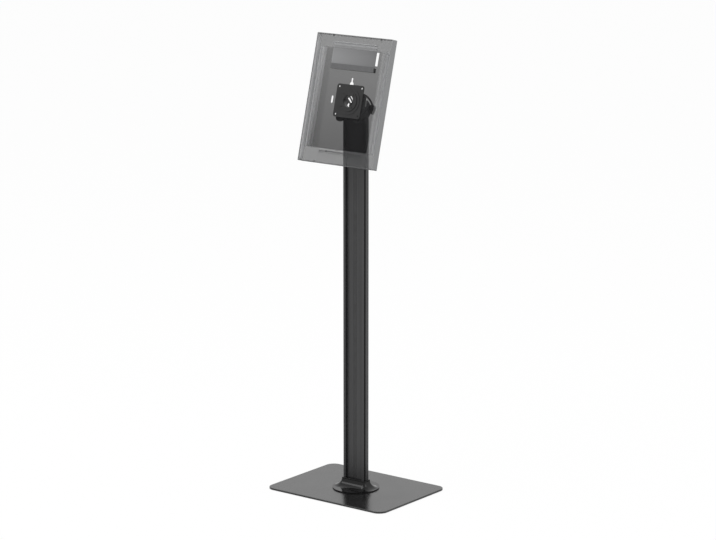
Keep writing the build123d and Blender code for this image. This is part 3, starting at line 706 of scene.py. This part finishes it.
# Each piece's finish, and the rounding of its edges in metres
FINISHED_PIECES = {
    "base_plate": ("base_coat", 0.0004),
    "foot_collar": ("base_coat", 0.0004),
    "column": ("column_coat", 0.0004),
    "cover_strip": ("strip_plastic", 0.0002),
    "cable_grommet": ("rubber", 0.0003),
    "column_screws": ("dark_steel", 0.0002),
    "head_bracket": ("bracket_coat", 0.0005),
    "bracket_screws": ("dark_steel", 0.0003),
    "pivot_screws": ("dark_steel", 0.0004),
    "friction_washers": ("washer_plastic", 0.0001),
    "clamp_washers": ("dark_steel", 0.0002),
    "clamp_spacer": ("bracket_coat", 0.0004),
    "clamp_nut": ("dark_steel", 0.0004),
    "tilt_yoke": ("bracket_coat", 0.0005),
    "hub_washers": ("washer_plastic", 0.0001),
    "clamp_knob": ("knob_plastic", 0.0003),
    "clamp_stud": ("dark_steel", 0.0004),
    "hub_rotor": ("bracket_coat", 0.0004),
    "hub_lock_ring": ("dark_steel", 0.0004),
    "hub_clamp_ring": ("plate_coat", 0.0003),
    "hub_screws": ("dark_steel", 0.0002),
    "vesa_plate": ("plate_coat", 0.0003),
    "rear_cover": ("smoked_shell", 0.0003),
    "front_frame": ("smoked_face", 0.0003),
    "frame_screws": ("dark_steel", 0.0002),
    "support_rails": ("rail_grey", 0.0002),
    "upper_holder": ("holder_grey", 0.0002),
    "lower_holder": ("holder_grey", 0.0002),
    "holder_screws": ("dark_steel", 0.0002),
}
for name, (finish, rounding) in FINISHED_PIECES.items():
    edged_copy(name, finish, rounding)

# Rubber feet, each a disc with a rounded rim and a hollow underneath
FOOT_RADIUS = 0.015
FOOT_HEIGHT = 0.002
FOOT_SIDES = 64
FOOT_ROUNDING = 0.0004
FOOT_RIM = 0.0035
FOOT_HOLLOW_SLOPE = 0.0007
FOOT_HOLLOW_DEPTH = 0.0005
FOOT_HOLLOW_FLOOR = 0.004
_, feet_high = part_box("rubber_feet")
FOOT_X = feet_high.x - FOOT_RADIUS
FOOT_Y = feet_high.y - FOOT_RADIUS


def rubber_foot(number, x, y):
    bpy.ops.object.select_all(action="DESELECT")
    bpy.ops.mesh.primitive_cylinder_add(
        vertices=FOOT_SIDES,
        radius=FOOT_RADIUS,
        depth=FOOT_HEIGHT,
        location=(x, y, FOOT_HEIGHT / 2),
    )
    foot = bpy.context.object
    foot.name = f"rubber_foot_{number}"
    edit_faces_towards(foot, Vector((0.0, 0.0, -1.0)))
    bpy.ops.mesh.inset(thickness=FOOT_RIM)
    bpy.ops.mesh.inset(thickness=FOOT_HOLLOW_SLOPE, depth=-FOOT_HOLLOW_DEPTH)
    bpy.ops.mesh.inset(thickness=FOOT_HOLLOW_FLOOR)
    bpy.ops.object.mode_set(mode="OBJECT")
    bpy.ops.object.transform_apply(location=True, rotation=True, scale=True)
    round_edges(foot, FOOT_ROUNDING, FOOT_SEGMENTS)
    bpy.ops.object.shade_smooth_by_angle(angle=PIECE_SMOOTH_ANGLE)
    give_finish(foot, finishes["rubber"])
    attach(foot, "stand")
    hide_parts("rubber_feet")


for number, (side, end) in enumerate(((-1, -1), (1, -1), (1, 1), (-1, 1)), start=1):
    rubber_foot(number, side * FOOT_X, end * FOOT_Y)

# Foam strips on the rails and on the holders
RAIL_FOAM_ROUNDING = 0.0003
HOLDER_FOAM_ROUNDING = 0.0006
# How far in a strip's sagging face starts, as a share of its lesser side, and its sag
SAG_START = 0.22
SAG = 0.0001


def solid_extent(name, axis, side):
    """The extent on the enclosure of a node's solid that lies to that side along an axis."""
    places = [on_enclosure(vertex.co) for vertex in nodes[name].data.vertices]
    places = [place for place in places if place[axis] * side > 0]
    low = Vector([min(place[i] for place in places) for i in range(3)])
    high = Vector([max(place[i] for place in places) for i in range(3)])
    return low, high


def foam_strip(piece_name, node_name, axis, side, finish, rounding):
    """A strip of foam with soft edges and a face that sags a little between its edges."""
    low, high = solid_extent(node_name, axis, side)
    size = high - low
    bpy.ops.object.select_all(action="DESELECT")
    bpy.ops.mesh.primitive_cube_add(
        size=1.0,
        location=FACE_CENTRE + upright((low + high) / 2),
        rotation=(-TILT, 0.0, 0.0),
        scale=size,
    )
    strip = bpy.context.object
    strip.name = piece_name
    bpy.ops.object.transform_apply(location=True, rotation=True, scale=True)
    edit_faces_towards(strip, upright((0.0, -1.0, 0.0)))
    bpy.ops.mesh.inset(thickness=min(size.x, size.z) * SAG_START, depth=-SAG)
    bpy.ops.object.mode_set(mode="OBJECT")
    round_edges(strip, rounding, FOAM_SEGMENTS)
    bpy.ops.object.shade_smooth_by_angle(angle=FOAM_SMOOTH_ANGLE)
    give_finish(strip, finishes[finish])
    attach(strip, "enclosure")
    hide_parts(node_name)
    return strip


foam_strip("rail_foam_left", "rail_pads", X_AXIS, -1, "pad_foam", RAIL_FOAM_ROUNDING)
foam_strip("rail_foam_right", "rail_pads", X_AXIS, 1, "pad_foam", RAIL_FOAM_ROUNDING)
foam_strip(
    "upper_holder_foam", "holder_pads", UP_AXIS, 1, "strip_foam", HOLDER_FOAM_ROUNDING
)
lower_pad = foam_strip(
    "lower_holder_pad", "holder_pads", UP_AXIS, -1, "strip_foam", HOLDER_FOAM_ROUNDING
)

# Pieces that look unlike their slot's finish
see_through = clear_holder()
give_finish(lower_pad, see_through)
give_finish(bpy.data.objects["lower_holder_finished"], see_through)
collar_coat = base_black("collar_coat", gloss=(0.10, 0.14), ior=COLLAR_IOR)
give_finish(bpy.data.objects["foot_collar_finished"], collar_coat)

# Floor and world
FLOOR_SIZE = 40.0
FLOOR_WHITE = 0.9
FLOOR_ROUGHNESS = 0.9
FLOOR_SEEN = 0.95
FLOOR_MIRRORED = 0.85
WORLD_LIGHT = 0.62
WORLD_SEEN = 1.0


def seen_share(tree, share_seen, share_mirrored):
    """How white a surface is made: for the camera, and for mirrored or transmitted rays."""
    ray = tree.nodes.new("ShaderNodeLightPath").outputs
    direct = reckoned(tree, "MULTIPLY", ray["Is Camera Ray"], share_seen)
    mirrored = reckoned(tree, "MAXIMUM", ray["Is Glossy Ray"], ray["Is Transmission Ray"])
    dimmed = reckoned(tree, "MULTIPLY", mirrored, share_mirrored)
    return reckoned(tree, "MAXIMUM", direct, dimmed)


bpy.ops.object.select_all(action="DESELECT")
bpy.ops.mesh.primitive_plane_add(size=FLOOR_SIZE)
floor = bpy.context.object
floor.name = "studio_floor"
floor_paint = bpy.data.materials.new("floor_paint")
floor_paint.use_nodes = True
tree = floor_paint.node_tree
matt = shader_of(floor_paint)
matt.inputs["Base Color"].default_value = (FLOOR_WHITE, FLOOR_WHITE, FLOOR_WHITE, 1.0)
matt.inputs["Roughness"].default_value = FLOOR_ROUGHNESS
glow = tree.nodes.new("ShaderNodeEmission")
glow.inputs["Strength"].default_value = 1.0
blend = tree.nodes.new("ShaderNodeMixShader")
tree.links.new(seen_share(tree, FLOOR_SEEN, FLOOR_MIRRORED), blend.inputs[0])
tree.links.new(matt.outputs[0], blend.inputs[1])
tree.links.new(glow.outputs[0], blend.inputs[2])
tree.links.new(blend.outputs[0], tree.nodes["Material Output"].inputs["Surface"])
floor.data.materials.append(floor_paint)

# White all round where it is seen or mirrored
world = bpy.data.worlds.new("studio")
bpy.context.scene.world = world
world.use_nodes = True
tree = world.node_tree
air = tree.nodes["Background"]
air.inputs["Color"].default_value = (1.0, 1.0, 1.0, 1.0)
strength = graded(tree, seen_share(tree, 1.0, 1.0), 0.0, 1.0, WORLD_LIGHT, WORLD_SEEN)
tree.links.new(strength, air.inputs["Strength"])

# Lamps: both aim at a point on the stand's axis
LAMP_AIM = Vector((0.0, 0.0, 0.8))


def soft_lamp(name, place, size, watts):
    """A square lamp, its size being the length of its side."""
    lamp_data = bpy.data.lights.new(name, "AREA")
    lamp_data.shape = "RECTANGLE"
    lamp_data.size = size
    lamp_data.size_y = size
    lamp_data.energy = watts
    lamp = bpy.data.objects.new(name, lamp_data)
    bpy.context.scene.collection.objects.link(lamp)
    lamp.location = place
    lamp.rotation_euler = (LAMP_AIM - Vector(place)).to_track_quat("-Z", "Y").to_euler()


soft_lamp("key_lamp", (-1.6, -2.4, 4.8), size=4.0, watts=150.0)
soft_lamp("side_lamp", (3.6, 1.6, 3.2), size=3.0, watts=60.0)

# Camera: it looks down a little, from the stand's right
CAMERA_PLACE = (4.49201, -5.85973, 2.24867)
CAMERA_DOWN = 12.43
CAMERA_ROUND = 37.43
CAMERA_LENS = 139.9
CAMERA_SENSOR = 36.0
CAMERA_REACH = 100.0
camera_data = bpy.data.cameras.new("photo_camera")
camera = bpy.data.objects.new("photo_camera", camera_data)
bpy.context.scene.collection.objects.link(camera)
camera_data.lens = CAMERA_LENS
camera_data.sensor_width = CAMERA_SENSOR
camera_data.clip_end = CAMERA_REACH
camera.location = CAMERA_PLACE
camera.rotation_euler = (math.radians(90.0 - CAMERA_DOWN), 0.0, math.radians(CAMERA_ROUND))
bpy.context.scene.camera = camera
bpy.context.scene.view_settings.view_transform = "Standard"
